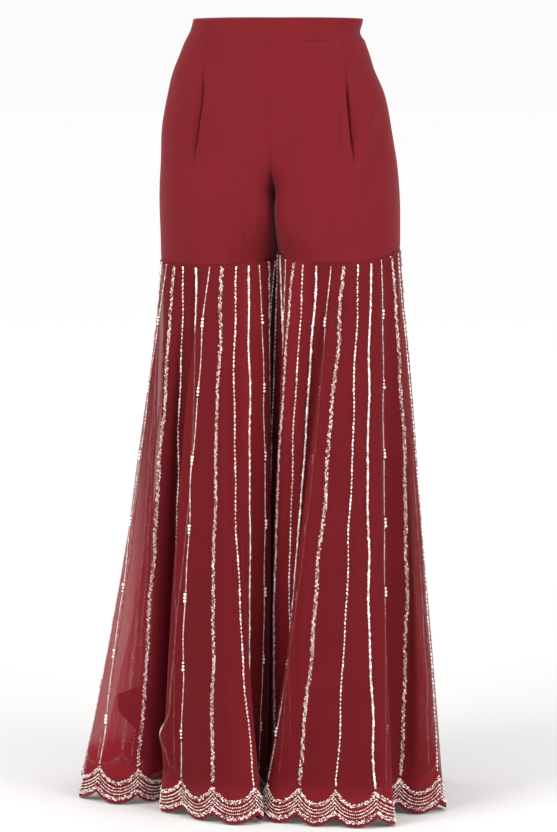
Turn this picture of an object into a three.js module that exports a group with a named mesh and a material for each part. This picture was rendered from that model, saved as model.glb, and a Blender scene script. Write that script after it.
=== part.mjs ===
import * as THREE from 'three';

// Two-tier flared trousers, worn and standing. Millimetres, +Z up, front towards -Y,
// origin at the middle of the waist opening, at the top edge of the waistband.
const bandHeight = 30;
const seamGap = 0.3; // sewn pieces stand this far apart
const upperWall = 1.6; // cloth of the upper
const bandWall = 2.2; // folded cloth of the waistband
const flareWall = 1.2; // sheer outer cloth
const liningWall = 1.0;
const crotchDrop = 252; // waist to crotch
const hemDrop = 1062; // waist to the lowest point of the hem
const liningDrop = 1028; // waist to the lining's edge
const scallopRise = 12; // hem at a bead line, above the middle of a scallop
const lines = 28; // bead lines and scallops round each hem
const centreLine = 5.12; // line number at the front of a leg, measured round the joint
const seamLine = 12.5; // inner or outer seam, where front and back flare meet
const turn = 7; // degrees to the wearer's left from which the hem plans are laid out

// Half width and the depth forward and back of the body, by height below the waist.
const body = [
  { z: 0, half: 113, front: 84, back: 86 },
  { z: 18, half: 114.5, front: 85, back: 88 },
  { z: 34, half: 121, front: 87, back: 92 },
  { z: 58, half: 130, front: 90, back: 97 },
  { z: 98, half: 144, front: 94, back: 107 },
  { z: 139, half: 152.5, front: 97, back: 115 },
  { z: 180, half: 157, front: 98, back: 119 },
  { z: 220, half: 160, front: 97, back: 116 },
  { z: 260, half: 161, front: 94, back: 107 },
  { z: 327, half: 159.5, front: 88, back: 92 },
];

// Each leg: which way it lies, its inner and outer edge and how far back its middle is
// at the joint, how low the joint seam is, and where the tuck of its front lies at the
// band and at the tuck's end.
const right = { side: -1, inner: -1.3, outer: -159, middle: 8, joint: 327, tuckTop: 0.585, tuckEnd: 0.46 };
const left = { side: 1, inner: 0.5, outer: 163, middle: 0, joint: 322, tuckTop: 0.54, tuckEnd: 0.475 };

// Plan of each hem: bead line number, across and depth as laid out, how far the cloth
// leans aside and back half way down, and the lining's across and depth.
right.hem = [
  { q: 0.45, across: -272, depth: 50, sway: 7, dip: 0, inAcross: -187, inDepth: 54 },
  { q: 1, across: -248, depth: 20, sway: -2, dip: 0, inAcross: -186, inDepth: 44 },
  { q: 2, across: -192, depth: -3, sway: -1, dip: 0, inAcross: -172, inDepth: 36 },
  { q: 2.5, across: -168, depth: 15, sway: 0, dip: 0, inAcross: -156, inDepth: 50 },
  { q: 3, across: -143, depth: 37, sway: -4, dip: 4, inAcross: -136, inDepth: 62 },
  { q: 3.4, across: -133, depth: 14, sway: 4, dip: 12, inAcross: -118, inDepth: 40 },
  { q: 4, across: -149, depth: -16, sway: 10, dip: 14, inAcross: -122, inDepth: -5 },
  { q: 4.5, across: -155, depth: -47, sway: -4, dip: 0, inAcross: -132, inDepth: -40 },
  { q: 5, across: -129, depth: -78, sway: -10, dip: 0, inAcross: -118, inDepth: -64 },
  { q: 6, across: -87, depth: -118, sway: -4, dip: 0, inAcross: -85, inDepth: -98 },
  { q: 7, across: -28, depth: -128, sway: -13, dip: 0, inAcross: -42, inDepth: -108 },
  { q: 7.3, across: -21, depth: -112, sway: -13, dip: 0, inAcross: -38, inDepth: -98 },
  { q: 8, across: -42, depth: -72, sway: 2, dip: 0, inAcross: -57, inDepth: -70 },
  { q: 8.5, across: -46, depth: -46, sway: 6, dip: 0, inAcross: -60, inDepth: -46 },
  { q: 9, across: -30, depth: -26, sway: 9, dip: 0, inAcross: -50, inDepth: -18 },
  { q: 10, across: -20, depth: 28, sway: 4, dip: 0, inAcross: -42, inDepth: 28 },
  { q: 11.1, across: -62, depth: 62, sway: 0, dip: 0, inAcross: -80, inDepth: 60 },
  { q: 12.6, across: 6, depth: 126, sway: 0, dip: 0, inAcross: -26, inDepth: 114 },
  { q: 14.1, across: -75, depth: 140, sway: 0, dip: 0, inAcross: -93, inDepth: 120 },
  { q: 15.2, across: -38, depth: 217, sway: 0, dip: 0, inAcross: -88, inDepth: 150 },
  { q: 16, across: -64, depth: 231, sway: 0, dip: 0, inAcross: -94, inDepth: 158 },
  { q: 17.2, across: -115, depth: 160, sway: 0, dip: 0, inAcross: -118, inDepth: 128 },
  { q: 18.3, across: -136, depth: 238, sway: 0, dip: 0, inAcross: -138, inDepth: 194 },
  { q: 19.1, across: -164, depth: 238, sway: 0, dip: 0, inAcross: -158, inDepth: 194 },
  { q: 20.2, across: -178, depth: 160, sway: 0, dip: 0, inAcross: -174, inDepth: 144 },
  { q: 21.3, across: -228, depth: 226, sway: 4, dip: 0, inAcross: -202, inDepth: 180 },
  { q: 22.1, across: -250, depth: 206, sway: 6, dip: 0, inAcross: -210, inDepth: 166 },
  { q: 23.3, across: -192, depth: 137, sway: 4, dip: 0, inAcross: -176, inDepth: 124 },
  { q: 24.4, across: -265, depth: 170, sway: 9, dip: 0, inAcross: -188, inDepth: 124 },
  { q: 25.2, across: -270, depth: 146, sway: 9, dip: 0, inAcross: -188, inDepth: 112 },
  { q: 26.5, across: -196, depth: 96, sway: 5, dip: 0, inAcross: -178, inDepth: 86 },
  { q: 27.5, across: -228, depth: 66, sway: 7, dip: 0, inAcross: -185, inDepth: 66 },
];
left.hem = [
  { q: 1.3, across: -4, depth: 25, sway: -7, dip: 0, inAcross: 24, inDepth: 20 },
  { q: 2, across: -2, depth: -10, sway: -12, dip: 0, inAcross: 24, inDepth: 0 },
  { q: 3, across: 20, depth: -28, sway: -11, dip: 0, inAcross: 38, inDepth: -16 },
  { q: 3.4, across: 24, depth: -48, sway: -4, dip: 2, inAcross: 46, inDepth: -44 },
  { q: 4, across: -2, depth: -58, sway: 2, dip: 8, inAcross: 32, inDepth: -58 },
  { q: 4.6, across: -25, depth: -78, sway: 14, dip: 18, inAcross: 4, inDepth: -78 },
  { q: 5, across: -21, depth: -98, sway: 12, dip: 14, inAcross: 4, inDepth: -90 },
  { q: 5.5, across: -1, depth: -115, sway: -10, dip: -2, inAcross: 16, inDepth: -98 },
  { q: 6, across: 24, depth: -128, sway: 0, dip: 0, inAcross: 34, inDepth: -108 },
  { q: 7, across: 73, depth: -148, sway: 4, dip: 0, inAcross: 73, inDepth: -130 },
  { q: 8, across: 130, depth: -150, sway: -8, dip: 0, inAcross: 118, inDepth: -132 },
  { q: 8.35, across: 150, depth: -138, sway: -6, dip: 0, inAcross: 131, inDepth: -122 },
  { q: 9, across: 143, depth: -103, sway: 0, dip: 0, inAcross: 124, inDepth: -98 },
  { q: 9.5, across: 137, depth: -75, sway: 6, dip: 4, inAcross: 120, inDepth: -68 },
  { q: 10, across: 160, depth: -62, sway: 16, dip: 4, inAcross: 146, inDepth: -44 },
  { q: 10.5, across: 188, depth: -64, sway: 12, dip: 0, inAcross: 174, inDepth: -44 },
  { q: 11, across: 217, depth: -50, sway: 4, dip: 0, inAcross: 194, inDepth: -38 },
  { q: 11.3, across: 222, depth: -35, sway: 2, dip: 0, inAcross: 197, inDepth: -28 },
  { q: 12, across: 205, depth: 0, sway: 2, dip: 0, inAcross: 184, inDepth: -4 },
  { q: 12.8, across: 165, depth: 30, sway: 0, dip: 0, inAcross: 147, inDepth: 30 },
  { q: 14, across: 221, depth: 76, sway: 0, dip: 0, inAcross: 190, inDepth: 74 },
  { q: 14.6, across: 217, depth: 102, sway: 0, dip: 0, inAcross: 188, inDepth: 92 },
  { q: 15.8, across: 165, depth: 120, sway: 0, dip: 0, inAcross: 150, inDepth: 110 },
  { q: 16.9, across: 220, depth: 178, sway: 0, dip: 0, inAcross: 184, inDepth: 152 },
  { q: 17.7, across: 202, depth: 197, sway: 0, dip: 0, inAcross: 174, inDepth: 166 },
  { q: 18.8, across: 142, depth: 150, sway: 0, dip: 0, inAcross: 134, inDepth: 136 },
  { q: 19.9, across: 150, depth: 236, sway: 0, dip: 0, inAcross: 138, inDepth: 192 },
  { q: 20.7, across: 122, depth: 236, sway: 0, dip: 0, inAcross: 118, inDepth: 192 },
  { q: 21.8, across: 95, depth: 155, sway: 0, dip: 0, inAcross: 102, inDepth: 130 },
  { q: 22.9, across: 66, depth: 230, sway: 0, dip: 0, inAcross: 94, inDepth: 144 },
  { q: 23.7, across: 40, depth: 212, sway: 0, dip: 0, inAcross: 93, inDepth: 136 },
  { q: 24.6, across: 82, depth: 135, sway: 0, dip: 0, inAcross: 98, inDepth: 112 },
  { q: 26.3, across: -22, depth: 96, sway: 0, dip: 0, inAcross: 14, inDepth: 92 },
  { q: 27, across: -24, depth: 70, sway: 0, dip: 0, inAcross: 12, inDepth: 76 },
  { q: 28.2, across: 40, depth: 42, sway: -3, dip: 0, inAcross: 58, inDepth: 44 },
];

const radians = THREE.MathUtils.degToRad;
const ease = (from, to, at) => THREE.MathUtils.smoothstep(at, from, to);
const mix = THREE.MathUtils.lerp;

// Smooth curve through a column of a table; the table may run round (lap > 0).
function through(rows, key, column, at, lap = 0) {
  const n = rows.length;
  if (lap) at = rows[0][key] + ((((at - rows[0][key]) % lap) + lap) % lap);
  let i = 0;
  while (i < n - 1 && rows[i + 1][key] <= at) i += 1;
  if (!lap) i = Math.min(i, n - 2);
  const row = (k) => {
    if (!lap) {
      const r = rows[Math.max(0, Math.min(n - 1, k))];
      return [r[key], r[column]];
    }
    const turns = Math.floor(k / n);
    const r = rows[k - turns * n];
    return [r[key] + turns * lap, r[column]];
  };
  const [a, b, c, d] = [row(i - 1), row(i), row(i + 1), row(i + 2)];
  const h = c[0] - b[0];
  const t = (at - b[0]) / h;
  const m0 = (c[1] - a[1]) / (c[0] - a[0]);
  const m1 = (d[1] - b[1]) / (d[0] - b[0]);
  const t2 = t * t;
  const t3 = t2 * t;
  return (2 * t3 - 3 * t2 + 1) * b[1] + (t3 - 2 * t2 + t) * h * m0
    + (3 * t2 - 2 * t3) * c[1] + (t3 - t2) * h * m1;
}

// Section of the leg at the joint and just above it: angle 0 is the front.
function legPoint(leg, angle, depth, inner) {
  const half = through(body, 'z', 'half', depth);
  const outer = mix(leg.side * half, leg.outer, ease(200, leg.joint, depth));
  const c = Math.cos(angle);
  const reach = through(body, 'z', c > 0 ? 'front' : 'back', depth);
  const middle = mix(4, leg.middle, ease(crotchDrop, leg.joint, depth));
  return [(inner + outer) / 2 + (Math.abs(outer - inner) / 2) * Math.sin(angle), middle - reach * c];
}

// Upper: across 0 is the centre or inner seam, 1 the side seam; face 1 front, -1 back.
function upperPoint(leg, face, across, down) {
  const depth = bandHeight + down * (leg.joint - bandHeight);
  const below = ease(crotchDrop, leg.joint, depth);
  const half = through(body, 'z', 'half', depth);
  const reach = through(body, 'z', face > 0 ? 'front' : 'back', depth);
  const tuck = mix(leg.tuckTop, leg.tuckEnd, Math.min(1, depth / 190));
  const part = across * Math.PI / 2;
  const hip = [
    leg.side * (seamGap / 2 + (half - seamGap / 2) * Math.sin(part)),
    4 * ease(0, leg.joint, depth) - face * reach * Math.cos(part),
  ];
  const swing = radians((seamLine - centreLine) * 360 / lines - 90) * below;
  const round = face * leg.side * (across * 2 - 1) * Math.PI / 2 + swing;
  const angle = face > 0 ? round : Math.PI + round;
  const limb = legPoint(leg, angle, depth, mix(leg.side * seamGap / 2, leg.inner, below));
  const curl = Math.min(1, Math.max(0, (depth - 165) / (crotchDrop - 165)));
  const seam = 1 - Math.sqrt(1 - curl * curl);
  const general = ease(150, leg.joint, depth);
  const near = Math.max(0, 1 - across / 0.6) ** 2;
  const w = mix(general, seam, near);
  const x = mix(hip[0], limb[0], w);
  let y = mix(hip[1], limb[1], w);
  if (face > 0) {
    const off = (across - tuck) * half * 1.2;
    y += 3 * Math.exp(-((off / 5) ** 2)) * (1 - ease(120, 190, depth));
  }
  return new THREE.Vector3(x, y, -depth);
}

// Flare and lining: line number round the leg, 0 to 1 from the joint to the hem.
function flarePoint(leg, q, down, inside = false) {
  const angle = radians((q - centreLine) * 360 / lines);
  const [tx, ty] = legPoint(leg, angle, leg.joint, leg.inner);
  const at = (column) => through(leg.hem, 'q', column, q, lines);
  const across = at(inside ? 'inAcross' : 'across');
  const depth = at(inside ? 'inDepth' : 'depth');
  const c = Math.cos(radians(turn));
  const s = Math.sin(radians(turn));
  const bend = 4 * down * (1 - down);
  const sway = at('sway') * bend;
  const dip = at('dip') * bend;
  const x = mix(tx, across * c - depth * s, down) + sway * c - dip * s;
  const y = mix(ty, across * s + depth * c, down) + sway * s + dip * c;
  const rise = inside ? 0 : scallopRise * (1 - Math.abs(Math.sin(Math.PI * q)) ** 0.8);
  const end = inside ? liningDrop : hemDrop - rise * down ** 6;
  return new THREE.Vector3(x, y, -mix(leg.joint + seamGap, end, down));
}

// Outward normal of a surface given as a function of two numbers.
function normalAt(surface, a, b, outward) {
  const e = 1e-3;
  const du = surface(a + e, b).sub(surface(a - e, b));
  const dv = surface(a, b + e).sub(surface(a, b - e));
  return du.cross(dv).normalize().multiplyScalar(outward);
}

// Closed wall of a surface. Each row gives b and its list of a values; set is how far
// the outer face lies inside the surface; the first and last column keep the seam gap.
// Where square(a, b) holds, the edge stands square to the plane between left and right.
function wall(name, colour, surface, rows, thick, outward, set = 0, square = () => false) {
  const faces = [[], []];
  rows.forEach(({ b, list }, r) => {
    const outer = [];
    const inner = [];
    list.forEach((a, i) => {
      const p = surface(a, b);
      const n = normalAt(surface, a, b, outward);
      const end = i === 0 || i === list.length - 1;
      if (square(a, b)) n.setX(0).normalize();
      if (r === 0 || r === rows.length - 1) n.setZ(0).normalize();
      if (end) {
        const inwards = i === 0 ? 1 : -1;
        const along = surface(a + 1e-3, b).sub(surface(a - 1e-3, b)).multiplyScalar(inwards);
        if (square(a, b)) along.set(Math.sign(along.x), 0, 0);
        p.addScaledVector(along.normalize(), seamGap / 2);
      }
      outer.push(p.clone().addScaledVector(n, -set));
      inner.push(p.clone().addScaledVector(n, -set - thick));
    });
    faces[0].push(outer);
    faces[1].push(inner);
  });
  const positions = [];
  const starts = faces.map((grid) => grid.map((row) => {
    const start = positions.length / 3;
    row.forEach((p) => positions.push(p.x, p.y, p.z));
    return start;
  }));
  const index = [];
  const add = (i, j, k, flip) => index.push(i, flip ? k : j, flip ? j : k);
  const count = rows.map((row) => row.list.length);
  const turned = outward > 0;
  [0, 1].forEach((face) => {
    for (let r = 0; r < rows.length - 1; r += 1) {
      const [s0, s1] = [starts[face][r], starts[face][r + 1]];
      const flip = (face === 0) !== turned;
      if (count[r] === count[r + 1]) {
        for (let i = 0; i < count[r] - 1; i += 1) {
          add(s0 + i, s0 + i + 1, s1 + i, flip);
          add(s0 + i + 1, s1 + i + 1, s1 + i, flip);
        }
      } else {
        for (let i = 0; i < count[r] - 1; i += 1) {
          add(s0 + i, s1 + 2 * i + 1, s1 + 2 * i, flip);
          add(s0 + i, s0 + i + 1, s1 + 2 * i + 1, flip);
          add(s0 + i + 1, s1 + 2 * i + 2, s1 + 2 * i + 1, flip);
        }
      }
    }
  });
  const rim = [];
  const last = rows.length - 1;
  for (let i = 0; i < count[0]; i += 1) rim.push([0, i]);
  for (let r = 1; r <= last; r += 1) rim.push([r, count[r] - 1]);
  for (let i = count[last] - 2; i >= 0; i -= 1) rim.push([last, i]);
  for (let r = last - 1; r > 0; r -= 1) rim.push([r, 0]);
  rim.forEach(([r, i], k) => {
    const [r2, i2] = rim[(k + 1) % rim.length];
    const [o0, o1] = [starts[0][r] + i, starts[0][r2] + i2];
    const [n0, n1] = [starts[1][r] + i, starts[1][r2] + i2];
    add(o0, n0, o1, !turned);
    add(o1, n0, n1, !turned);
  });
  const geometry = new THREE.BufferGeometry();
  geometry.setAttribute('position', new THREE.Float32BufferAttribute(positions, 3));
  geometry.setIndex(index);
  geometry.computeVertexNormals();
  const mesh = new THREE.Mesh(geometry, new THREE.MeshStandardMaterial({ color: colour, roughness: 0.8 }));
  mesh.name = name;
  return mesh;
}

const steps = (from, to, count) => Array.from({ length: count + 1 }, (_, i) => mix(from, to, i / count));

const group = new THREE.Group();
group.name = 'flared_trousers';
const crepe = 0x8a2a31;
const sheer = 0x7c262c;
const plain = 0x6e1f25;

// Columns of a front keep three close together on its tuck.
function frontColumns(leg, down) {
  const tuck = mix(leg.tuckTop, leg.tuckEnd, Math.min(1, mix(bandHeight, leg.joint, down) / 190));
  return [...steps(0, tuck - 0.05, 6), tuck - 0.02, tuck, tuck + 0.02, ...steps(tuck + 0.05, 1, 5)];
}

for (const [label, leg] of [['left', left], ['right', right]]) {
  const downs = [0, 0.05, 0.12, 0.22, 0.34, 0.46, 0.54, 0.6, 0.65, 0.69, 0.72, 0.745, 0.78, 0.85, 1];
  const onCentre = (a, b) => a === 0 && mix(bandHeight, leg.joint, b) < crotchDrop;
  const front = (a, b) => upperPoint(leg, 1, a, b);
  const back = (a, b) => upperPoint(leg, -1, a, b);
  group.add(wall(`upper_front_${label}`, crepe, front,
    downs.map((b) => ({ b, list: frontColumns(leg, b) })), upperWall, -leg.side, 0, onCentre));
  group.add(wall(`upper_back_${label}`, crepe, back,
    downs.map((b) => ({ b, list: steps(0, 1, 14) })), upperWall, leg.side, 0, onCentre));
  const flare = (a, b) => flarePoint(leg, a, b);
  const lining = (a, b) => flarePoint(leg, a, b, true);
  const upperRows = [0, 0.08, 0.2, 0.34, 0.48, 0.6];
  const lowerRows = [0.7, 0.8, 0.9, 0.965, 1];
  const liningRows = [0, 0.12, 0.3, 0.5, 0.7, 0.85, 1];
  [['front', seamLine - 14], ['back', seamLine]].forEach(([face, start]) => {
    group.add(wall(`flare_${face}_${label}`, sheer, flare, [
      ...upperRows.map((b) => ({ b, list: steps(start, start + 14, 28) })),
      ...lowerRows.map((b) => ({ b, list: steps(start, start + 14, 56) })),
    ], flareWall, -1));
    group.add(wall(`lining_${face}_${label}`, plain, lining,
      liningRows.map((b) => ({ b, list: steps(start, start + 14, 28) })), liningWall, -1,
      flareWall + seamGap));
  });
}

// Waistband: angle 0 is the front, rising towards the wearer's left.
function bandPoint(angle, down) {
  const depth = down * (bandHeight - seamGap);
  const c = Math.cos(angle);
  const reach = through(body, 'z', c > 0 ? 'front' : 'back', depth);
  return new THREE.Vector3(through(body, 'z', 'half', depth) * Math.sin(angle), -reach * c, -depth);
}
const bandRows = (from, to, count) => [0, 0.5, 1].map((b) => ({ b, list: steps(from, to, count) }));
const quarter = Math.PI / 2;
group.add(wall('waistband_front_left', crepe, bandPoint, bandRows(0, quarter, 12), bandWall, -1));
group.add(wall('waistband_front_right', crepe, bandPoint, bandRows(-quarter, 0, 12), bandWall, -1));
group.add(wall('waistband_back', crepe, bandPoint, bandRows(quarter, 3 * quarter, 24), bandWall, -1));

export default group;
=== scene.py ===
import math
import bpy
import bmesh
import numpy as np
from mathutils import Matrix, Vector


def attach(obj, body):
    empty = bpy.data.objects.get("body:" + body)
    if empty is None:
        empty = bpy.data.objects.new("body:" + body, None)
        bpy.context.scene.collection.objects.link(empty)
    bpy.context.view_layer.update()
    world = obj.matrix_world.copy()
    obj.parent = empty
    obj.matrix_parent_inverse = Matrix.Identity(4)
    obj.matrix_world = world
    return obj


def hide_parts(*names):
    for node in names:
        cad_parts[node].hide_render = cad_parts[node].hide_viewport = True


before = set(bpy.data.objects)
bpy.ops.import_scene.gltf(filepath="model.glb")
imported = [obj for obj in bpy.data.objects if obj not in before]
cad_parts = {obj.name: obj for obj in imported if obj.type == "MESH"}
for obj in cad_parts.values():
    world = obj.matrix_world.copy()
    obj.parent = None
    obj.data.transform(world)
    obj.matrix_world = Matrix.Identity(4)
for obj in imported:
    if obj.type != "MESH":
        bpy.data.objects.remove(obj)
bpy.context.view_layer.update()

# Flared two-tier trousers, worn and standing. Lengths are millimetres until a mesh is
# made; drop is the height below the waistband's top edge, line the number of a bead line.
mm = 0.001
trousers = {
    "bandHeight": 30,
    "crotchDrop": 252,
    "hemDrop": 1062,
    "liningDrop": 1028,
    "scallopRise": 12,  # hem at a bead line, above the middle of a scallop
    "lines": 28,  # bead lines round each leg
    "centreLine": 5.12,  # line number at the very front of a leg
    "seamLine": 12.5,  # line number of the inner seam
    "lineGap": (18.6, 57),  # from one bead line to the next, at the joint and at the hem
    "turn": 7,  # degrees towards +X by which the plan of the hems is turned
}
chance = np.random.default_rng(28)


def ease(start, end, at):
    t = np.clip((np.asarray(at, float) - start) / (end - start), 0, 1)
    return t * t * (3 - 2 * t)


def mix(a, b, share):
    return a + (b - a) * share


def bump(at, middle, wide):
    return np.exp(-(((at - middle) / wide) ** 2))


def through(table, key, column, at, lap=0):  # smooth curve through a table's column
    x, y, at = table[key], table[column], np.asarray(at, float)
    if lap:
        at = x[0] + np.mod(at - x[0], lap)
        x = np.concatenate([x[-2:] - lap, x, x[:3] + lap])
        y = np.concatenate([y[-2:], y, y[:3]])
    slope = np.empty(len(x))
    slope[1:-1] = (y[2:] - y[:-2]) / (x[2:] - x[:-2])
    slope[0], slope[-1] = (y[1] - y[0]) / (x[1] - x[0]), (y[-1] - y[-2]) / (x[-1] - x[-2])
    i = np.clip(np.searchsorted(x, at, side="right") - 1, 0, len(x) - 2)
    h = x[i + 1] - x[i]
    t = (at - x[i]) / h
    return ((2 * t**3 - 3 * t**2 + 1) * y[i] + (t**3 - 2 * t**2 + t) * h * slope[i]
            + (3 * t**2 - 2 * t**3) * y[i + 1] + (t**3 - t**2) * h * slope[i + 1])


def columns(names, rows):
    return {name: np.array(values, float) for name, values in zip(names.split(), zip(*rows))}


# Half width of the worn form and its depth forward and back, by drop.
wornForm = columns("drop half front back", [
    (0, 113, 84, 86), (18, 114.5, 85, 88), (34, 121, 87, 92), (58, 130, 90, 97),
    (98, 144, 94, 107), (139, 152.5, 97, 115), (180, 157, 98, 119), (220, 160, 97, 116),
    (260, 161, 94, 107), (327, 159.5, 88, 92),
])

# How far the worn form stands over towards -X, by drop.
hipShift = columns("drop over", [
    (0, 0), (26, 4.5), (52, 5.5), (71, 6.5), (102, 3.6), (150, 3), (200, 0), (330, 0),
])

# Each leg: its side, its inner and outer edge and the middle at the joint, the joint
# seam's drop and its climb at the outer and inner side, and the tuck of its front by drop.
legs = {
    "right": {"side": -1, "inner": -1.3, "outer": -159, "middle": 8, "joint": 324, "climb": (5, 6),
              "tuck": columns("drop x", [(25, -87.4), (52, -90), (110, -93.6), (140, -98.3), (190, -104)])},
    "left": {"side": 1, "inner": 0.5, "outer": 163, "middle": 0, "joint": 320, "climb": (14, 12),
             "tuck": columns("drop x", [(33, 91.4), (62, 95.9), (112, 101.7), (145, 105.2), (180, 108.6)])},
}
# Plan of each hem, fold by fold: bead line, where it stands across and in depth, how the
# cloth leans aside and back half way down, and the lining's place across and in depth.
hemColumns = "line across depth sway dip inAcross inDepth"
legs["right"]["hem"] = columns(hemColumns, [
    (0.45, -272, 50, 7, 0, -187, 54), (1, -248, 20, -2, 0, -186, 44),
    (2, -192, -3, -1, 0, -172, 36), (2.5, -168, 15, 0, 0, -156, 50),
    (3, -143, 37, -4, 4, -136, 62), (3.4, -133, 14, 4, 12, -118, 40),
    (4, -149, -16, 10, 14, -122, -5), (4.5, -155, -47, -4, 0, -132, -40),
    (5, -129, -78, -10, 0, -118, -64), (6, -87, -118, -4, 0, -85, -98),
    (7, -28, -128, -13, 0, -42, -108), (7.3, -21, -112, -13, 0, -38, -98),
    (8, -42, -72, 2, 0, -57, -70), (8.5, -46, -46, 6, 0, -60, -46),
    (9, -30, -26, 9, 0, -50, -18), (10, -20, 28, 4, 0, -42, 28),
    (11.1, -62, 62, 0, 0, -80, 60), (12.6, 6, 126, 0, 0, -26, 114),
    (14.1, -75, 140, 0, 0, -93, 120), (15.2, -38, 217, 0, 0, -88, 150),
    (16, -64, 231, 0, 0, -94, 158), (17.2, -115, 160, 0, 0, -118, 128),
    (18.3, -136, 238, 0, 0, -138, 194), (19.1, -164, 238, 0, 0, -158, 194),
    (20.2, -178, 160, 0, 0, -174, 144), (21.3, -228, 226, 4, 0, -202, 180),
    (22.1, -250, 206, 6, 0, -210, 166), (23.3, -192, 137, 4, 0, -176, 124),
    (24.4, -265, 170, 9, 0, -188, 124), (25.2, -270, 146, 9, 0, -188, 112),
    (26.5, -196, 96, 5, 0, -178, 86), (27.5, -228, 66, 7, 0, -185, 66),
])
legs["left"]["hem"] = columns(hemColumns, [
    (1.3, -4, 25, -7, 0, 24, 20), (2, -2, -10, -12, 0, 24, 0),
    (3, 20, -28, -11, 0, 38, -16), (3.4, 24, -48, -4, 2, 46, -44),
    (4, -2, -58, 2, 8, 32, -58), (4.6, -25, -78, 14, 18, 4, -78),
    (5, -21, -98, 12, 14, 4, -90), (5.5, -1, -115, -10, -2, 16, -98),
    (6, 24, -128, 0, 0, 34, -108), (7, 73, -148, 4, 0, 73, -130),
    (8, 130, -150, -8, 0, 118, -132), (8.35, 150, -138, -6, 0, 131, -122),
    (9, 143, -103, 0, 0, 124, -98), (9.5, 137, -75, 6, 4, 120, -68),
    (10, 160, -62, 16, 4, 146, -44), (10.5, 188, -64, 12, 0, 174, -44),
    (11, 217, -50, 4, 0, 194, -38), (11.3, 222, -35, 2, 0, 197, -28),
    (12, 205, 0, 2, 0, 184, -4), (12.8, 165, 30, 0, 0, 147, 30),
    (14, 221, 76, 0, 0, 190, 74), (14.6, 217, 102, 0, 0, 188, 92),
    (15.8, 165, 120, 0, 0, 150, 110), (16.9, 220, 178, 0, 0, 184, 152),
    (17.7, 202, 197, 0, 0, 174, 166), (18.8, 142, 150, 0, 0, 134, 136),
    (19.9, 150, 236, 0, 0, 138, 192), (20.7, 122, 236, 0, 0, 118, 192),
    (21.8, 95, 155, 0, 0, 102, 130), (22.9, 66, 230, 0, 0, 94, 144),
    (23.7, 40, 212, 0, 0, 93, 136), (24.6, 82, 135, 0, 0, 98, 112),
    (26.3, -22, 96, 0, 0, 14, 92), (27, -24, 70, 0, 0, 12, 76),
    (28.2, 40, 42, -3, 0, 58, 44),
])


def creases(across, drop, spread, rows):
    # each row: start across and drop, end across and drop, half width, height; soft ends
    push = 0 * drop
    for across0, drop0, across1, drop1, wide, high in rows:
        along = (drop - drop0) / (drop1 - drop0)
        off = (across - mix(across0, across1, along)) * spread / wide
        push = push + high * ease(-0.2, 0.3, along) * (1 - ease(0.65, 1.2, along)) * np.exp(-off * off)
    return push


def outward(surface, a, b, sign, stepA=0.004, stepB=0.002):  # unit normals of a surface
    alongA = surface(a + stepA, b) - surface(a - stepA, b)
    alongB = surface(a, b + stepB) - surface(a, b - stepB)
    normal = np.cross(alongA, alongB) * sign
    return normal / np.linalg.norm(normal, axis=-1, keepdims=True)


# Ring of cloth round a leg, above and at the joint: angle 0 is in front, and square makes
# the half that faces the other leg squarer than an ellipse.
def legRing(leg, angle, drop, inner, square=0):
    half = through(wornForm, "drop", "half", drop)
    outer = mix(leg["side"] * half, leg["outer"], ease(200, leg["joint"], drop))
    reach = np.where(np.cos(angle) > 0, through(wornForm, "drop", "front", drop),
                     through(wornForm, "drop", "back", drop))
    middle = mix(4, leg["middle"], ease(trousers["crotchDrop"], leg["joint"], drop))
    power = 2 + square * (np.sin(angle) * leg["side"] < 0)
    full = (np.abs(np.sin(angle)) ** power + np.abs(np.cos(angle)) ** power) ** (-1 / power)
    return ((inner + outer) / 2 + np.abs(outer - inner) / 2 * np.sin(angle) * full,
            middle - reach * np.cos(angle) * full)


def jointDrop(leg, lean):  # lean -1 at the inner side of a leg, 1 at the outer
    outer, inner = leg["climb"]
    return leg["joint"] - outer * np.clip(lean, 0, 1) ** 3 - inner * np.clip(-lean, 0, 1) ** 3


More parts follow.
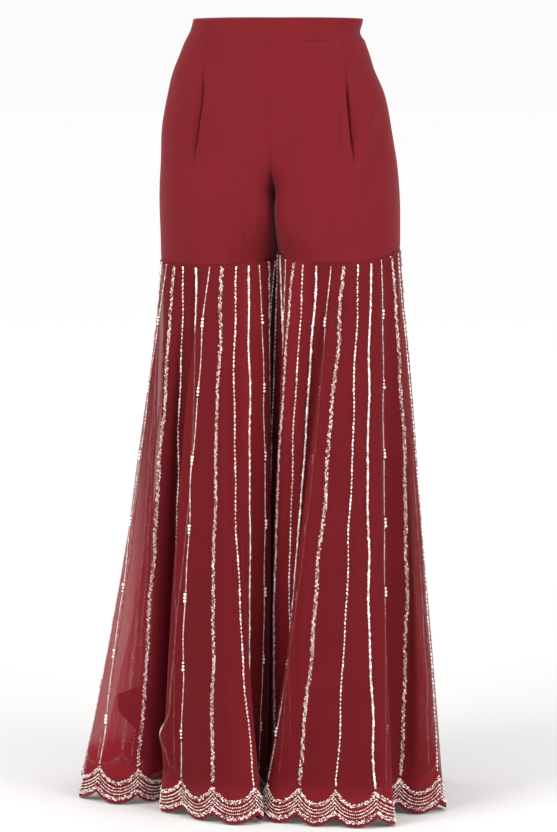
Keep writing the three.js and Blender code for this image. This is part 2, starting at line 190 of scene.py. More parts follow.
# Upper: four crepe panels.
upper = {
    "columns": 150,
    "rows": 70,
    "crowd": (-0.5, 0.4),  # across and down
    "cut": (0.25, 0.3),  # metres
    "wall": 1.0,
    "splitFrom": 150,  # drop from which one round form becomes two legs
    "foldFrom": 185,  # drop from which a panel begins to turn in between the legs
    "foldPast": 14,  # how far below the crotch it is turned in fully
    "folded": 0.25,  # share of a leg's ring that is missing above that
    "pressed": 4,  # how much squarer than an ellipse the legs are where they lie together
    "pressedTo": 240,  # drop from which that fades towards the joint
    "seamDepth": 1.3,
    "seamWidth": 2.2,
    "tuckDepth": 5.5,
    "tuckSlit": 4.5,  # the dark line where one side of a tuck lies over the other
    # soft troughs (below 0) and ridges: x and drop at both ends, half width, height
    "front": [
        (-84, 150, -92, 235, 5, -1.2), (-60, 170, -56, 300, 9, -0.9), (-30, 238, -36, 326, 4, -2.4),
        (-20, 232, -22, 326, 3.2, 1.8), (-46, 262, -52, 326, 5, -1.5), (32, 140, 40, 190, 3, -1.3),
        (38, 190, 56, 268, 6, 1.3), (24, 200, 34, 300, 6, -1.1), (92, 112, 93, 186, 3, -2.2),
        (132, 112, 106, 235, 6, 4.0), (140, 150, 120, 270, 6, -3.4), (124, 84, 108, 165, 5, -1.8),
        (-118, 120, -126, 260, 10, 1.2), (62, 230, 74, 322, 8, -1.3), (-138, 60, -140, 130, 6, -0.8),
        (-70, 60, -74, 150, 9, 1.4), (-12, 258, -10, 340, 5, -2.0),
    ],
    "back": [
        (-70, 34, -74, 118, 4, -2.4), (68, 34, 71, 126, 4, -2.4), (-30, 225, -48, 322, 6, -1.7),
        (26, 232, 40, 318, 7, -1.9), (-12, 236, -16, 322, 4, 1.4), (-110, 190, -92, 310, 10, -1.3),
        (104, 170, 92, 318, 9, -1.2), (-60, 250, -66, 326, 5, 1.2), (72, 240, 82, 322, 6, 1.1),
        (-126, 110, -110, 190, 7, 1.2), (130, 130, 112, 215, 6, 1.3),
    ],
    # lying creases under the band: drop and x at both ends
    "frontLying": [
        (20, 38, 17, 84, 1.6, -1.1), (31, 34, 32, 82, 2.6, -0.7), (25, 46, 24, 90, 2.6, 0.9),
        (36, -10, 33, 6, 1.5, -0.9), (40, 96, 46, 128, 3, -0.9), (70, 118, 84, 150, 5, 1.2),
    ],
}


def upperForm(leg, face, across, down):  # across 0 at the centre or inner seam, 1 at the side
    def about(at):  # angle round the leg
        return face * leg["side"] * (at * 2 - 1) * math.pi / 2 + (0 if face > 0 else math.pi)

    def limb(at):
        return legRing(leg, about(at + folded * (1 - at)) + swing * below, drop,
                       mix(0, leg["inner"], below), pressed)

    swing = math.radians((trousers["seamLine"] - trousers["centreLine"]) * 360 / trousers["lines"] - 90)
    start, joint, crotch = trousers["bandHeight"] - 1, leg["joint"], trousers["crotchDrop"]
    drop = start + down * (jointDrop(leg, leg["side"] * np.sin(about(across) + swing)) - start)
    below = ease(crotch, joint, drop)
    half = through(wornForm, "drop", "half", drop)
    reach = through(wornForm, "drop", "front" if face > 0 else "back", drop)
    part = across * math.pi / 2
    hipX = leg["side"] * half * np.sin(part)
    hipY = 4 * ease(0, joint, drop) - face * reach * np.cos(part)
    pressed = upper["pressed"] * (1 - ease(upper["pressedTo"], joint, drop))
    folded = upper["folded"] * (1 - ease(upper["foldFrom"], crotch + upper["foldPast"], drop))
    limbX, limbY = limb(across)
    limbX = limbX - limb(0 * across)[0] * (1 - below) * (1 - across) ** 4  # keeps the centre seam closed
    share = ease(upper["splitFrom"], crotch, drop)  # 0 where both legs are still one round form
    over = through(hipShift, "drop", "over", drop) * np.sin(part)
    return np.stack([mix(hipX, limbX, share) - over, mix(hipY, limbY, share), -drop], axis=-1)


def upperCloth(leg, face, across, down):
    spots = upperForm(leg, face, across, down)
    drop = -spots[:, 2]
    normal = outward(lambda a, b: upperForm(leg, face, a, b), np.clip(across, 0.001, 0.999), down,
                     -leg["side"] * face)
    seam = bump(across * through(wornForm, "drop", "half", drop) * 1.2, 0, upper["seamWidth"])
    seam = seam + bump((1 - across) * 120, 0, upper["seamWidth"])
    lip = spots[:, 2] - upperForm(leg, face, across, 0 * down + 1)[:, 2]  # height above the joint
    seam = seam + 0.4 * bump(lip, 0, 2.4) + 0.1 * bump(drop, trousers["bandHeight"] - 1, 1.6)
    push = -upper["seamDepth"] * seam
    rows = upper["front" if face > 0 else "back"]
    inside = np.sin(math.pi * np.clip(across, 0, 1)) ** 0.35
    push = push + creases(spots[:, 0], drop, 1, rows) * inside
    if face > 0:
        push = push + creases(drop, spots[:, 0], 1, upper["frontLying"]) * inside
        off = (spots[:, 0] - np.interp(drop, leg["tuck"]["drop"], leg["tuck"]["x"])) * leg["side"]
        steep = np.where(off < 0, 2.2, mix(2.6, 10, ease(60, 120, drop)))
        fade = 1 - ease(146, 205, drop)
        deep = upper["tuckDepth"] * ease(60, 114, drop) * fade
        push = push - deep * np.exp(-np.abs(off / steep) ** 1.5)
        slit = mix(0.25, 1, ease(70, 108, drop)) * fade
        push = push - upper["tuckSlit"] * slit * bump(off, 0, 1.3)
    normal[:, 0] *= np.minimum(across * 60, 1)  # right at the centre seam only forward or back
    return spots + normal * push[:, None]


# Flare and lining: one tube of cloth each round a leg.
flare = {
    "columnsPerLine": 10,
    "rows": 100,
    "crowd": 0.7,
    "cut": (1.6, 0.74),  # metres
    "puff": 0.3,  # cloth standing out just under the joint seam
    "slack": 2.8,  # cloth between two bead lines
    "deep": 1.7,  # how much deeper the creases below are than written
    "cover": 0.64,  # how much of what is behind the cloth it hides
    "bareCover": 0.44,
    "hemCover": 0.96,  # in the border, and where the legs face each other
    "unlinedPaintedLight": (16, 38),  # distance to the lining from which the cloth hides less and its colour is painted lighter, as light shining through it
    # line and drop at both ends, half width, height
    "right": [
        (1.2, 720, 1.9, 800, 4, -1.7), (1.75, 760, 1.25, 850, 3.5, 1.6), (1.3, 830, 1.85, 900, 4, -1.8),
        (1.7, 880, 1.3, 960, 4, 1.7), (1.45, 930, 1.6, 1010, 5, -1.8), (0.55, 640, 0.7, 980, 8, -2.4),
        (1.5, 560, 1.3, 760, 6, 1.8), (5.5, 350, 5.45, 900, 14, -2.2), (6.4, 380, 6.5, 1000, 13, 2.6),
        (4.6, 420, 4.7, 960, 8, 2.2), (3.5, 500, 3.6, 900, 7, -2.6), (7.5, 420, 7.6, 900, 7, -2.4),
        (5.2, 335, 5.25, 420, 4, 1.2), (3.4, 332, 3.5, 430, 4, 1.4), (6.7, 332, 6.7, 400, 4, -1.2),
    ],
    "left": [
        (6.5, 360, 6.4, 880, 14, -2.4), (7.5, 400, 7.4, 1010, 12, 2.8), (5.5, 480, 5.6, 900, 7, -2.2),
        (9.5, 420, 9.6, 960, 7, -2.6), (10.5, 520, 10.4, 1000, 9, 2.0), (11.4, 600, 11.6, 1000, 8, -2.2),
        (12.2, 700, 11.8, 1000, 6, 1.8), (8.6, 340, 8.5, 520, 5, 1.6), (4.5, 332, 4.45, 440, 4, 1.3),
        (6.2, 330, 6.2, 410, 4, -1.2), (7.9, 330, 7.8, 430, 4, 1.1), (8.3, 900, 8.1, 1000, 10, 2.0),
    ],
    # places where the right flare is pushed aside: line, drop, half width in lines, half height, how far
    "nudges": [(4.0, 870, 0.34, 190, -11), (4.0, 964, 0.45, 19, -11), (4.0, 1010, 0.3, 15, 4)],
    # the same kind of creases round the back, uneven in place and length
    "hidden": [(14 + i * 1.13 + 0.31 * (i % 3), 340 + 37 * (i % 4), 14 + i * 1.15, 760 + 61 * (i % 5),
                6 + 2 * (i % 3), (2.2, -2.6, 1.7)[i % 3]) for i in range(11)],
}


def flareForm(leg, line, down, inside=False):
    angle = np.radians((line - trousers["centreLine"]) * 360 / trousers["lines"])
    topX, topY = legRing(leg, angle, 0 * line + leg["joint"], leg["inner"])
    top = jointDrop(leg, leg["side"] * np.sin(angle))
    hem = lambda column: through(leg["hem"], "line", column, line, trousers["lines"])
    across, depth = (hem("inAcross"), hem("inDepth")) if inside else (hem("across"), hem("depth"))
    c, s = math.cos(math.radians(trousers["turn"])), math.sin(math.radians(trousers["turn"]))
    bend = 4 * down * (1 - down)
    sway, dip = hem("sway") * bend, hem("dip") * bend
    x = mix(topX, across * c - depth * s, down) + sway * c - dip * s
    y = mix(topY, across * s + depth * c, down) + sway * s + dip * c
    if inside:
        end = liningEdge(leg, line)
    else:
        peak = 1 - np.abs(np.sin(math.pi * line)) ** 0.8
        end = trousers["hemDrop"] - trousers["scallopRise"] * peak * np.clip(down, 0, 1) ** 6
    return np.stack([x, y, -mix(top, end, down)], axis=-1)


def flareCloth(leg, line, down):
    spots = flareForm(leg, line, down)
    normal = outward(lambda a, b: flareForm(leg, a, b), line, np.clip(down, 0.003, 0.997), -1)
    drop = -spots[:, 2]
    spread = mix(*trousers["lineGap"], down)
    place = np.mod(line, trousers["lines"])
    side = "left" if leg["side"] > 0 else "right"
    push = flare["deep"] * creases(place, drop, spread, flare[side] + flare["hidden"])
    under = drop + flareForm(leg, line, 0 * down)[:, 2]  # distance below the joint seam
    push = push + flare["puff"] * bump(under, 9, 7) - 0.4 * bump(under, 0, 2.6)
    fullness = 0.55 + 0.45 * np.sin(np.floor(place) * 2.4 + leg["side"])  # uneven from line to line
    push = push + flare["slack"] * fullness * np.sin(math.pi * line) ** 2 * ease(0.01, 0.25, down)
    if leg["side"] < 0:
        for at, middle, wide, high, far in flare["nudges"]:
            spots[:, 0] += far * bump(place, at, wide) * bump(drop, middle, high)
    curl = np.sin(line * 2.3 + leg["side"]) + 0.6 * np.sin(line * 5.1)
    push = push + 2.2 * curl * ease(0.965, 1, down) ** 2  # the edge turns in and out a little
    return spots + normal * push[:, None]


def unlinedPaintedLightShare(leg, line, down):  # 1 where the lining hangs well behind the flare; there the cloth hides less and its colour is painted lighter, as light shining through
    spots = flareForm(leg, line, down)
    apart = spots - flareForm(leg, line, down, True)
    return ease(*flare["unlinedPaintedLight"], np.hypot(apart[:, 0], apart[:, 1])) * (1 - ease(1000, 1032, -spots[:, 2]))


def clothCover(leg, line, down):
    cover = mix(flare["cover"], flare["bareCover"], unlinedPaintedLightShare(leg, line, down))
    angle = np.radians((line - trousers["centreLine"]) * 360 / trousers["lines"])
    solid = np.maximum(ease(998, 1030, -flareForm(leg, line, down)[:, 2]),
                       ease(0.25, 0.6, -leg["side"] * np.sin(angle)))
    return mix(cover, flare["hemCover"], solid)


# Lining inside each flare, a little shorter.
lining = {
    "columnsPerLine": 6,
    "rows": 76,
    "crowd": 0.5,
    "cut": (1.3, 0.68),  # metres
    "inset": 3.0,
    "longer": 5,  # where it hangs lowest
    # corner that stands out at the right flank, seen through the sheer cloth
    "corner": {"line": 0.4, "wide": 1.5, "out": 44, "from": (902, 918), "to": (934, 990)},
}


def liningEdge(leg, line):
    uneven = 3 * np.sin(line * 0.9 + leg["side"]) ** 2 + 2 * np.sin(line * 2.1) ** 2
    return trousers["liningDrop"] + lining["longer"] - uneven


def liningCloth(leg, line, down):
    spots = flareForm(leg, line, down, True)
    normal = outward(lambda a, b: flareForm(leg, a, b, True), line, np.clip(down, 0.003, 0.997), -1)
    push = -lining["inset"] * ease(0, 0.02, down) + 1.2 * np.sin(line * 4.4) * down
    push = push - 0.8 * (1 - ease(0, 0.02, down))
    if leg["side"] < 0:
        corner, drop = lining["corner"], -spots[:, 2]
        near = bump(np.mod(line + 10, trousers["lines"]) - 10, corner["line"], corner["wide"])
        spots[:, 0] -= corner["out"] * near * ease(*corner["from"], drop) * (1 - ease(*corner["to"], drop))
    return spots + normal * push[:, None]


# A piece of cloth is a grid with its UV in metres of cloth, moved to its form.
def layCloth(name, across, rows, size, place, tube=False, wall=0, marks=None):
    bm = bmesh.new()
    bm.loops.layers.uv.new("cut")
    bmesh.ops.create_grid(bm, x_segments=across, y_segments=rows, size=1, calc_uvs=True)
    flat = np.array([v.co for v in bm.verts])
    for vert, spot in zip(bm.verts, place((flat[:, 0] + 1) / 2, (1 - flat[:, 1]) / 2) * mm):
        vert.co = spot
    for mark, share in (marks or {}).items():  # numbers that the finish reads, one for each vertex
        layer = bm.verts.layers.float.new(mark)
        for vert, value in zip(bm.verts, share((flat[:, 0] + 1) / 2, (1 - flat[:, 1]) / 2)):
            vert[layer] = value
    if tube:
        bmesh.ops.remove_doubles(bm, verts=[v for v in bm.verts if v.is_boundary], dist=1e-6)
    for edge in bm.edges:
        edge.smooth = not (wall and edge.is_boundary)
    for side in bm.faces:
        side.smooth = True
    mesh = bpy.data.meshes.new(name)
    bm.to_mesh(mesh)
    bm.free()
    cut = mesh.uv_layers.active.data
    uv = np.empty(len(cut) * 2)
    cut.foreach_get("uv", uv)
    cut.foreach_set("uv", (uv.reshape(-1, 2) * size).ravel())
    piece = bpy.data.objects.new(name, mesh)
    bpy.context.scene.collection.objects.link(piece)
    if wall:
        shell = piece.modifiers.new("wall", "SOLIDIFY")
        shell.thickness, shell.offset = wall * mm, -1
    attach(piece, "root")
    area = sum(p.area for p in mesh.polygons)
    print(name, len(mesh.polygons), "faces", round(area, 4), "square metres")
    return piece


# More rows or columns near both ends, or near the middle where share is below 0.
def crowd(at, share):
    return at - share * np.sin(2 * math.pi * at) / (2 * math.pi)


pieces = {}
for name, leg in legs.items():
    for face, side in ((1, "front"), (-1, "back")):
        flip = leg["side"] * face < 0
        pieces[f"upper_{side}_{name}"] = layCloth(
            f"crepe_upper_{side}_{name}", upper["columns"], upper["rows"], upper["cut"],
            lambda a, b: upperCloth(leg, face, crowd(1 - a if flip else a, upper["crowd"][0]),
                                    crowd(b, upper["crowd"][1])),
            wall=upper["wall"])
print("upper panels laid")

for name, leg in legs.items():
    lines = trousers["lines"]
    pieces[f"flare_{name}"] = layCloth(
        f"sheer_flare_{name}", lines * flare["columnsPerLine"], flare["rows"], flare["cut"],
        lambda a, b: flareCloth(leg, a * lines, crowd(b, flare["crowd"])), tube=True,
        marks={"unlinedPaintedLight": lambda a, b: unlinedPaintedLightShare(leg, a * lines, crowd(b, flare["crowd"])),
               "cover": lambda a, b: clothCover(leg, a * lines, crowd(b, flare["crowd"]))})
    pieces[f"lining_{name}"] = layCloth(
        f"plain_lining_{name}", lines * lining["columnsPerLine"], lining["rows"], lining["cut"],
        lambda a, b: liningCloth(leg, a * lines, crowd(b, lining["crowd"])), tube=True)
print("flares and linings laid")

# Waistband: cloth folded over at the top, in three lengths.
band = {
    "rows": 34,
    "thick": 2.2,
    "slump": 2.0,  # top edge lower at the sides than at the left front
    "pinch": 3.2,  # pulled in at the left side
    # lying creases: drop and x at both ends, half width, height
    "lying": [(9, 30, 11, 80, 2.2, -0.8), (16, 44, 13, 88, 1.6, -1.1), (23, 34, 25, 84, 2, -1.3),
              (12, -12, 30, -3, 1.3, -1.5)],
}


def bandCloth(start, end, across, fold):  # fold 0 is the outer lower edge, 1 the inner one
    angle = mix(start, end, across)
    height, thick = trousers["bandHeight"], band["thick"]
    reach = fold * 2 * height
    turn = np.clip((reach - height) / thick, -0.5, 0.5) * math.pi
    drop = np.abs(height - reach)
    drop = drop + band["slump"] * np.sin(angle - 0.4) ** 2 * np.clip(1 - drop / height, 0, 1)
    inset = thick / 2 * (1 + np.sin(turn))
    half = through(wornForm, "drop", "half", drop)
    deep = np.where(np.cos(angle) > 0, through(wornForm, "drop", "front", drop),
                    through(wornForm, "drop", "back", drop))
    length = np.minimum(across, 1 - across) * abs(end - start) * 100
    pinch = 0.8 * bump(length, 0, 2.2) * np.sign(0.5 - fold)
    x = half * np.sin(angle)
    outside = (fold < 0.5) & (np.cos(angle) > 0)
    push = -inset - pinch + np.where(outside, creases(drop, x, 1, band["lying"]), 0)
    push = push - band["pinch"] * bump(drop, 21, 8) * bump(angle, 1.5, 0.4)
    over = through(hipShift, "drop", "over", drop) * np.abs(np.sin(angle))
    x = (half + push) * np.sin(angle) - over
    return np.stack([x, -(deep + push) * np.cos(angle), -drop], axis=-1)


quarter = math.pi / 2
# each length: its name, its angles, its columns and how long it is in metres
for name, start, end, count, length in (("front_left", 0, quarter, 60, 0.16),
                                        ("front_right", -quarter, 0, 60, 0.16),
                                        ("back", quarter, 3 * quarter, 110, 0.31)):
    pieces[f"waistband_{name}"] = layCloth(
        f"crepe_waistband_{name}", count, band["rows"], (length, 2 * trousers["bandHeight"] * mm),
        lambda a, b: bandCloth(start, end, a, 1 - b))
print("waistband laid")

# Beads: one small shape of each kind, repeated along rows on the flare's outside.
beading = {
    # each kind's tint range gives every bead a random tone, partly its own colour and partly painted glint
    "crowded": {"size": (2.3, 2.1, 2.0), "pitch": 1.05, "reach": 2.3, "tintAndGlint": (0, 0.9)},
    "close": {"size": (2.3, 2.1, 2.0), "pitch": 0.85, "reach": 2.6, "tintAndGlint": (0, 1)},
    "tube": {"size": (4.2, 2.0, 1.9), "pitch": 5.6, "tintAndGlint": (0.4, 1)},
    "bright": {"size": (4.4, 2.9, 2.3), "pitch": 4.3, "tintAndGlint": (0.35, 0.95)},
    "small": {"size": (2.2, 2.0, 1.8), "pitch": 2.5, "tintAndGlint": (0.35, 1)},
    "pearl": {"size": (4.4, 4.4, 4.0), "pitch": 4.6, "tintAndGlint": (0.9, 1)},
    "pearlStep": 92,  # from one group of three pearls to the next
    "pearlRoom": 3.0,  # no small bead nearer than this to the middle of a pearl
    "linePoints": 400,  # places worked out along a bead line
    "scallopPoints": 60,  # and along the border of one scallop
    "borderMiddle": 32,
    "borderPeak": 40,
    # height in the border from its lower edge, as a share, and the kind of row
    "border": [(0.21, "close"), (0.395, "small"), (0.525, "small"), (0.655, "small"), (0.87, "close")],
}


def beadShape(kind):
    bm = bmesh.new()
    if kind == "tube":
        bmesh.ops.create_cone(bm, cap_ends=True, cap_tris=True, segments=6, radius1=0.5, radius2=0.5, depth=1)
        turned = np.array([(v.co.z, v.co.x, v.co.y) for v in bm.verts])
    else:
        bmesh.ops.create_icosphere(bm, subdivisions=1, radius=0.5)
        turned = np.array([tuple(v.co) for v in bm.verts])
    bmesh.ops.triangulate(bm, faces=bm.faces[:])
    bm.verts.index_update()
    sides = np.array([[v.index for v in f.verts] for f in bm.faces])
    bm.free()
    return turned, sides


shapes = {kind: beadShape(kind) for kind in ("round", "tube")}
print("bead faces", {kind: len(shape[1]) for kind, shape in shapes.items()})


def downAt(leg, line, drop):  # share of the flare's length at a drop
    down = (drop - leg["joint"]) / (trousers["hemDrop"] - leg["joint"])
    for _ in range(4):
        down = down + (drop + flareForm(leg, line, down)[:, 2]) / (trousers["hemDrop"] - leg["joint"])
    return down


def rowAlong(leg, line, drop, pitch):  # beads at an even pitch along a row
    down = downAt(leg, line, drop)
    spots = flareCloth(leg, line, down)
    run = np.concatenate([[0], np.cumsum(np.linalg.norm(np.diff(spots, axis=0), axis=1))])
    at = np.arange(pitch / 2, run[-1], pitch)
    return np.interp(at, run, line), np.interp(at, run, down), at


def sewBeads(name, leg, groups, lengthwise):  # groups: kind, line, down, aside
    points, faces, tintsAndGlints, start = [], [], [], 0
    for kind, line, down, aside in groups:
        place = lambda a, b: flareCloth(leg, a, b)
        spots, normal = place(line, down), outward(place, line, down, -1)
        if lengthwise:
            along = place(line, down + 0.002) - place(line, down - 0.002)
        else:
            along = place(line + 0.02, down) - place(line - 0.02, down)
        along = along / np.linalg.norm(along, axis=1, keepdims=True)
        side = np.cross(normal, along)
        count = len(line)
        uneven = 1 + 0.14 * chance.standard_normal((count, 1)).clip(-1.5, 1.5)
        scale = np.array(beading[kind]["size"]) * uneven
        verts, sides = shapes["tube" if kind in ("tube", "bright") else "round"]
        centre = spots + side * np.asarray(aside).reshape(-1, 1) + normal * (scale[:, 2:3] * 0.42)
        local = verts[None] * scale[:, None]
        tilt = chance.normal(0, 0.16, count)
        along, side = (along * np.cos(tilt)[:, None] + side * np.sin(tilt)[:, None],
                       side * np.cos(tilt)[:, None] - along * np.sin(tilt)[:, None])
        placed = (centre[:, None] + local[:, :, 0:1] * along[:, None] + local[:, :, 1:2] * side[:, None]
                  + local[:, :, 2:3] * normal[:, None])
        points.append(placed.reshape(-1, 3))
        faces.append((sides[None] + np.arange(count)[:, None, None] * len(verts) + start).reshape(-1, 3))
        # random tone of each bead: partly its own colour, partly painted glint
        tintAndGlint = mix(*beading[kind]["tintAndGlint"], ease(0.15, 0.7, chance.random(count)))
        tintsAndGlints.append(np.repeat(tintAndGlint, len(verts)))
        start += count * len(verts)
    mesh = bpy.data.meshes.new(name)
    mesh.from_pydata(np.concatenate(points) * mm, [], np.concatenate(faces))
    layer = mesh.attributes.new("tintAndGlint", "FLOAT", "POINT")
    layer.data.foreach_set("value", np.concatenate(tintsAndGlints).astype(np.float32))
    mesh.polygons.foreach_set("use_smooth", np.ones(len(mesh.polygons), bool))
    piece = bpy.data.objects.new(name, mesh)
    bpy.context.scene.collection.objects.link(piece)
    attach(piece, "root")
    print(name, len(mesh.polygons), "faces")
    return piece


def borderDrop(leg, line, share):  # drop of a border row, share 0 at the hem and 1 at its top
    peak = 1 - np.abs(np.sin(math.pi * line)) ** 0.8
    height = mix(beading["borderMiddle"], beading["borderPeak"], peak)
    return trousers["hemDrop"] - trousers["scallopRise"] * peak - height * share


def beadRow(leg, line, drop, kind):
    at, down, run = rowAlong(leg, line, drop, beading[kind]["pitch"])
    if "reach" in beading[kind]:  # small beads crowded side by side
        even = np.mod(np.arange(len(at)) * 0.618 + chance.normal(0, 0.1, len(at)), 1)
        return [(kind, at, down, (even * 2 - 1) * beading[kind]["reach"])]
    return [(kind, at, down, chance.normal(0, 0.15, len(at)))]


def pearlRow(leg, line, drop):
    at, down, run = rowAlong(leg, line, drop, beading["small"]["pitch"])
    first = 68 + 9 * math.sin(line[0] * 1.7)  # from the joint to the first three pearls
    threes = np.array([middle + move * beading["pearl"]["pitch"] for move in (-1, 0, 1)
                       for middle in np.arange(first, run[-1] - 8, beading["pearlStep"])])
    free = np.min(np.abs(run[:, None] - threes[None]), axis=1) > beading["pearlRoom"]
    return [("small", at[free], down[free], 0 * at[free]),
            ("pearl", np.interp(threes, run, at), np.interp(threes, run, down), 0 * threes)]


for name, leg in legs.items():
    groups = {"bright": [], "pearl": [], "crowded": [], "tube": []}
    for number in range(trousers["lines"]):
        line = np.full(beading["linePoints"], float(number))
        top = -flareForm(leg, line[:1], np.zeros(1))[0, 2] + 2.5 + 2.5 * chance.random()
        drop = np.linspace(top, borderDrop(leg, line[0], 1.0), beading["linePoints"])
        wander = 0.9 * np.sin(drop / 31 + number * 2.1) + 0.7 * np.sin(drop / 17 + number * 1.3)
        line = line + wander / mix(*trousers["lineGap"], (drop - top) / (drop[-1] - top))
        kind = list(groups)[number % 4]
        groups[kind] += pearlRow(leg, line, drop) if kind == "pearl" else beadRow(leg, line, drop, kind)
    for kind, rows in groups.items():
        pieces[f"{kind}_lines_{name}"] = sewBeads(f"{kind}_bead_lines_{name}", leg, rows, True)
    rows = []
    line = np.linspace(0, trousers["lines"], trousers["lines"] * beading["scallopPoints"] + 1)
    for share, kind in beading["border"]:
        rows += beadRow(leg, line, borderDrop(leg, line, share), kind)
    pieces[f"border_{name}"] = sewBeads(f"hem_border_beads_{name}", leg, rows, False)
print("beads sewn")


# Finishes of the cloth and the beads.
class Wire:
    def __init__(self, tree, socket):
        self.tree, self.socket = tree, socket

    def node(self, kind, settings, inputs, output=0):
        made = self.tree.nodes.new("ShaderNode" + kind)
        for name, value in settings.items():
            setattr(made, name, value)
        for name, value in inputs.items():
            if isinstance(value, Wire):
                self.tree.links.new(value.socket, made.inputs[name])
            else:
                made.inputs[name].default_value = value
        return Wire(self.tree, made.outputs[output] if made.outputs else None)

    def math(self, operation, first, second):
        return self.node("Math", {"operation": operation}, {0: first, 1: second})

    def __add__(self, other):
        return self.math("ADD", self, other)

    def __radd__(self, other):
        return self.math("ADD", other, self)

    def __sub__(self, other):
        return self.math("SUBTRACT", self, other)

    def __rsub__(self, other):
        return self.math("SUBTRACT", other, self)

    def __mul__(self, other):
        return self.math("MULTIPLY", self, other)

    def __rmul__(self, other):
        return self.math("MULTIPLY", other, self)


def startFinish(name):
    material = bpy.data.materials.new(name)
    material.use_nodes = True
    material.node_tree.nodes.clear()
    return material, Wire(material.node_tree, None)


def colour(red, green, blue):  # sRGB 0 to 255 to the linear values of a socket
    return tuple(c / 12.92 if c <= 0.04045 else ((c + 0.055) / 1.055) ** 2.4
                 for c in (red / 255, green / 255, blue / 255)) + (1,)


def finishSurface(wire, inputs):
    shader = wire.node("BsdfPrincipled", {}, inputs)
    wire.node("OutputMaterial", {}, {"Surface": shader})


cloths = {
    "crepe": {"dark": (95, 20, 26), "light": (108, 25, 31), "rough": 0.85, "sheen": 0.22, "thread": 0.55},
    "georgette": {"dark": (102, 21, 27), "light": (116, 26, 32), "rough": 0.8, "sheen": 0.16, "thread": 0.4,
                  "unlinedPaintedLight": (144, 31, 42)},  # painted light: lighter and redder where no lining is close behind, as light shining through the sheer cloth
    "lining": {"dark": (62, 11, 15), "light": (74, 15, 19), "rough": 0.6, "sheen": 0.02, "thread": 0.3},
}


def clothFinish(name):
    cloth = cloths[name]
    material, wire = startFinish(name)
    spot = wire.node("TexCoord", {}, {}, "Object")
    cut = wire.node("UVMap", {"uv_map": "cut"}, {})
    patch = wire.node("TexNoise", {}, {"Vector": spot, "Scale": 22, "Detail": 3})
    fine = wire.node("TexNoise", {}, {"Vector": spot, "Scale": 900 / cloth["thread"], "Detail": 2})
    weft = wire.node("TexWave", {"bands_direction": "X"},
                     {"Vector": cut, "Scale": 320 / cloth["thread"], "Distortion": 1.2}, 1)
    warp = wire.node("TexWave", {"bands_direction": "Y"},
                     {"Vector": cut, "Scale": 320 / cloth["thread"], "Distortion": 1.2}, 1)
    weave = weft * 0.5 + warp * 0.5
    tone = wire.node("Mix", {"data_type": "RGBA"},
                     {"Factor": patch * 0.7 + fine * 0.3, "A": colour(*cloth["dark"]),
                      "B": colour(*cloth["light"])}, 2)
    relief = wire.node("Bump", {}, {"Strength": 0.2, "Distance": 0.0002, "Height": fine * 0.7 + weave * 0.3})
    inputs = {"Base Color": tone, "Roughness": cloth["rough"] - fine * 0.08, "Normal": relief,
              "Sheen Weight": cloth["sheen"], "Sheen Roughness": 0.35, "Sheen Tint": (1, 0.4, 0.45, 1),
              "Specular IOR Level": 0.08}
    # painted light: where no lining hangs close behind, the base colour turns lighter, as light shining
    # through the cloth
    if "unlinedPaintedLight" in cloth:
        share = wire.node("Attribute", {"attribute_name": "unlinedPaintedLight"}, {}, "Fac")
        inputs["Base Color"] = wire.node("Mix", {"data_type": "RGBA"},
                                         {"Factor": share, "A": tone, "B": colour(*cloth["unlinedPaintedLight"])}, 2)
        inputs["Alpha"] = wire.node("Attribute", {"attribute_name": "cover"}, {}, "Fac") - 0.03 + patch * 0.06
    finishSurface(wire, inputs)
    return material


def beadFinish():
    material, wire = startFinish("silver_lined_beads")
    # the random tone is partly the beads' own colour and partly painted glint; lighter beads are also
    # glossier
    tintAndGlint = wire.node("Attribute", {"attribute_name": "tintAndGlint"}, {}, "Fac")
    tone = wire.node("Mix", {"data_type": "RGBA"},
                     {"Factor": tintAndGlint, "A": colour(150, 84, 80), "B": colour(255, 242, 235)}, 2)
    finishSurface(wire, {"Base Color": tone, "Metallic": 0.15, "Roughness": 0.34 - tintAndGlint * 0.16,
                         "Coat Weight": 0.45, "Coat Roughness": 0.08})
    return material


crepe, georgette, plainCloth = clothFinish("crepe"), clothFinish("georgette"), clothFinish("lining")
beads = beadFinish()
for key, piece in pieces.items():
    if key.startswith(("upper", "waistband")):
        piece.data.materials.append(crepe)
        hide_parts(key)
    elif key.startswith("flare"):
        piece.data.materials.append(georgette)
    elif key.startswith("lining"):
        piece.data.materials.append(plainCloth)
    else:
        piece.data.materials.append(beads)
for name in legs:
    for part in ("flare", "lining"):
        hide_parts(f"{part}_front_{name}", f"{part}_back_{name}")

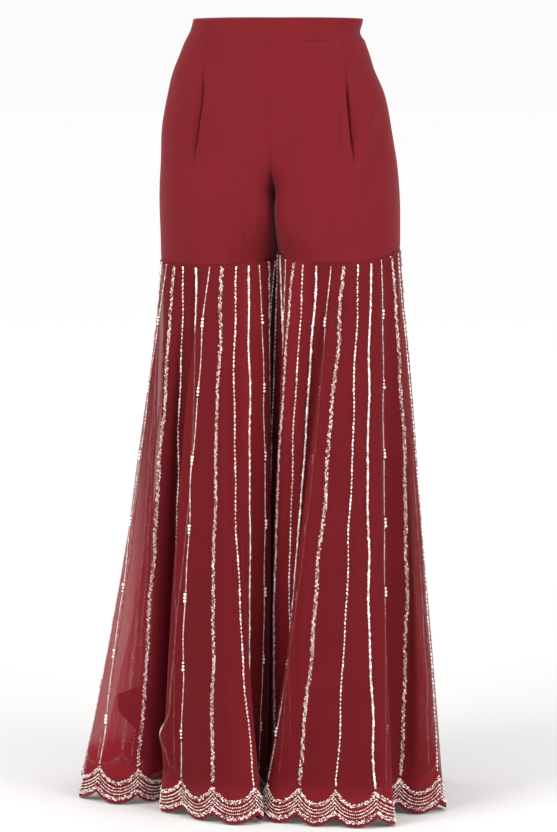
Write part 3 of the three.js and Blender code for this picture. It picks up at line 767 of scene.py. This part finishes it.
# Floor, light and camera.
studio = {
    "floorDrop": 1063.5,
    "floorReach": 40,
    "world": 0.965,
    "paperWithPaintedShade": ((212, 211, 210), (255, 255, 255)),  # painted shade near the garment, and the paper's white far from it
    "paintedShadeFade": (0.4, 3.8),  # metres, over which the painted shade fades out
    "distance": 5.0,  # metres from the waist
    "azimuth": 7,
    "tilt": 6.08,
    "lens": 162.0,
    "key": 82,
}
bm = bmesh.new()
bmesh.ops.create_circle(bm, cap_ends=True, segments=96, radius=studio["floorReach"])
bmesh.ops.translate(bm, verts=bm.verts, vec=(0, 0, -studio["floorDrop"] * mm))
mesh = bpy.data.meshes.new("pale_floor")
bm.to_mesh(mesh)
bm.free()
floor = bpy.data.objects.new("pale_floor", mesh)
bpy.context.scene.collection.objects.link(floor)
material, wire = startFinish("pale_paper")
spot = wire.node("TexCoord", {}, {}, "Object")
grain = wire.node("TexNoise", {}, {"Vector": spot, "Scale": 60, "Detail": 4})
reach = wire.node("VectorMath", {"operation": "LENGTH"}, {0: spot}, "Value")
fadeStart, fadeEnd = studio["paintedShadeFade"]
far = wire.node("MapRange", {}, {"Value": reach, "From Min": fadeStart, "From Max": fadeEnd})
paintedShadeNear, paperFar = studio["paperWithPaintedShade"]
# painted shade: the paper is darker near the garment and fades to white further off
paperWithPaintedShade = wire.node("Mix", {"data_type": "RGBA"},
                  {"Factor": far, "A": colour(*paintedShadeNear), "B": colour(*paperFar)}, 2)
# the faint white glow is painted light, which lifts the paper towards the white room
finishSurface(wire, {"Base Color": paperWithPaintedShade, "Roughness": 0.8 + grain * 0.1, "Specular IOR Level": 0.0,
                     "Emission Color": (1, 1, 1, 1), "Emission Strength": 0.012})
floor.data.materials.append(material)

world = bpy.data.worlds.new("white_room")
world.use_nodes = True
world.node_tree.nodes["Background"].inputs["Color"].default_value = (1, 1, 1, 1)
world.node_tree.nodes["Background"].inputs["Strength"].default_value = studio["world"]
bpy.context.scene.world = world
bpy.context.scene.view_settings.view_transform = "Standard"
bpy.context.scene.cycles.transparent_max_bounces = 24

for name, azimuth, height, power, size in (("key_softbox", -38, 1.4, studio["key"], 1.6),
                                           ("fill_softbox", 55, 0.6, studio["key"] * 0.8, 1.8)):
    light = bpy.data.lights.new(name, "AREA")
    light.shape, light.size, light.energy = "SQUARE", size, power
    lamp = bpy.data.objects.new(name, light)
    a = math.radians(azimuth)
    lamp.location = (3 * math.sin(a), -3 * math.cos(a), height)
    lamp.rotation_euler = (Vector((0, 0, -0.5)) - lamp.location).to_track_quat("-Z", "Y").to_euler()
    bpy.context.scene.collection.objects.link(lamp)

lens = bpy.data.cameras.new("portrait_lens")
lens.lens, lens.sensor_width, lens.clip_end = studio["lens"], 36, 100
camera = bpy.data.objects.new("camera", lens)
a = math.radians(studio["azimuth"])
camera.location = (studio["distance"] * math.sin(a), -studio["distance"] * math.cos(a), 0)
camera.rotation_euler = (math.radians(90 - studio["tilt"]), 0, a)
bpy.context.scene.collection.objects.link(camera)
bpy.context.scene.camera = camera
print("studio set")
